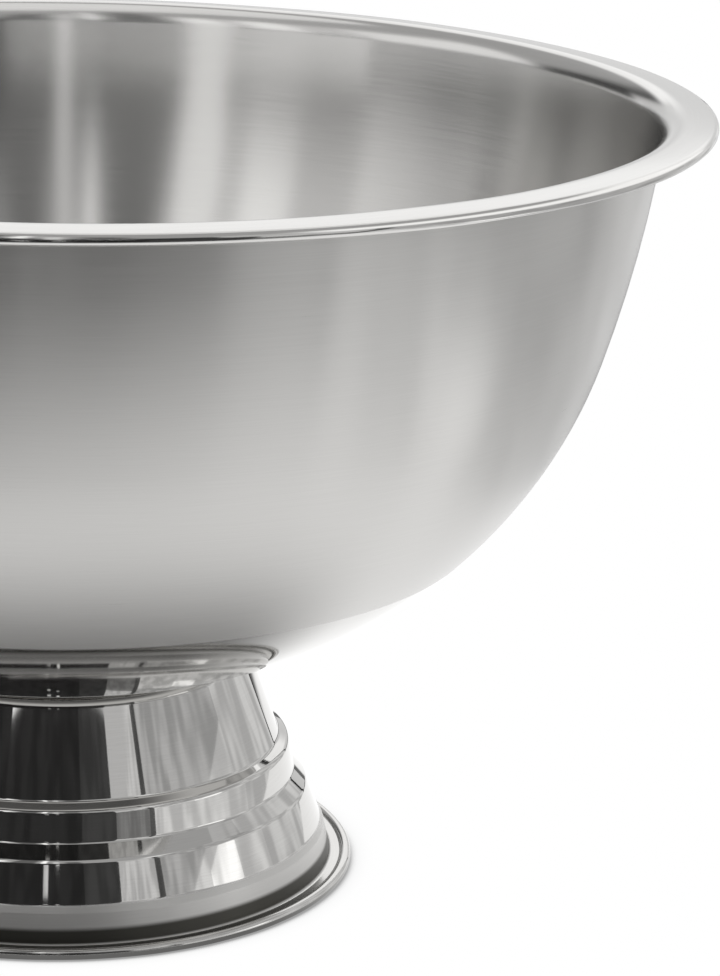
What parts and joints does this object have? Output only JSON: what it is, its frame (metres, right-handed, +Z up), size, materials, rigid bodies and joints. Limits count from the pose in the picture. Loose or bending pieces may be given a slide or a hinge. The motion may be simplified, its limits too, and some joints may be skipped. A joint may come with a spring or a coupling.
{
  "type": "punch bowl",
  "caption": "Footed punch bowl in stainless steel: a deep round bowl with a flared, rolled lip, clamped from inside to a hollow stepped foot.",
  "frame": {"origin": "on the surface that the foot stands on, on the axis that the bowl and the foot share", "axes": "+Z up along the common axis of the bowl, the foot and the fastening; the part is round, so +X and +Y are any two level directions"},
  "size_m": [0.38, 0.38, 0.2326],
  "materials": {
    "bowl_steel": "satin stainless steel brushed round the bowl, polished towards its underside and on the lip",
    "foot_steel": "mirror-polished stainless steel, satin below the foot's lower edge",
    "fastener_steel": "bright zinc-plated steel"
  },
  "bodies": {
    "root": {"bowl": "bowl_steel", "foot": "foot_steel", "weld_stud": "fastener_steel", "clamp_plate": "fastener_steel", "flat_washer": "fastener_steel", "spring_washer": "fastener_steel", "hex_nut": "fastener_steel"}
  },
  "joints": []
}
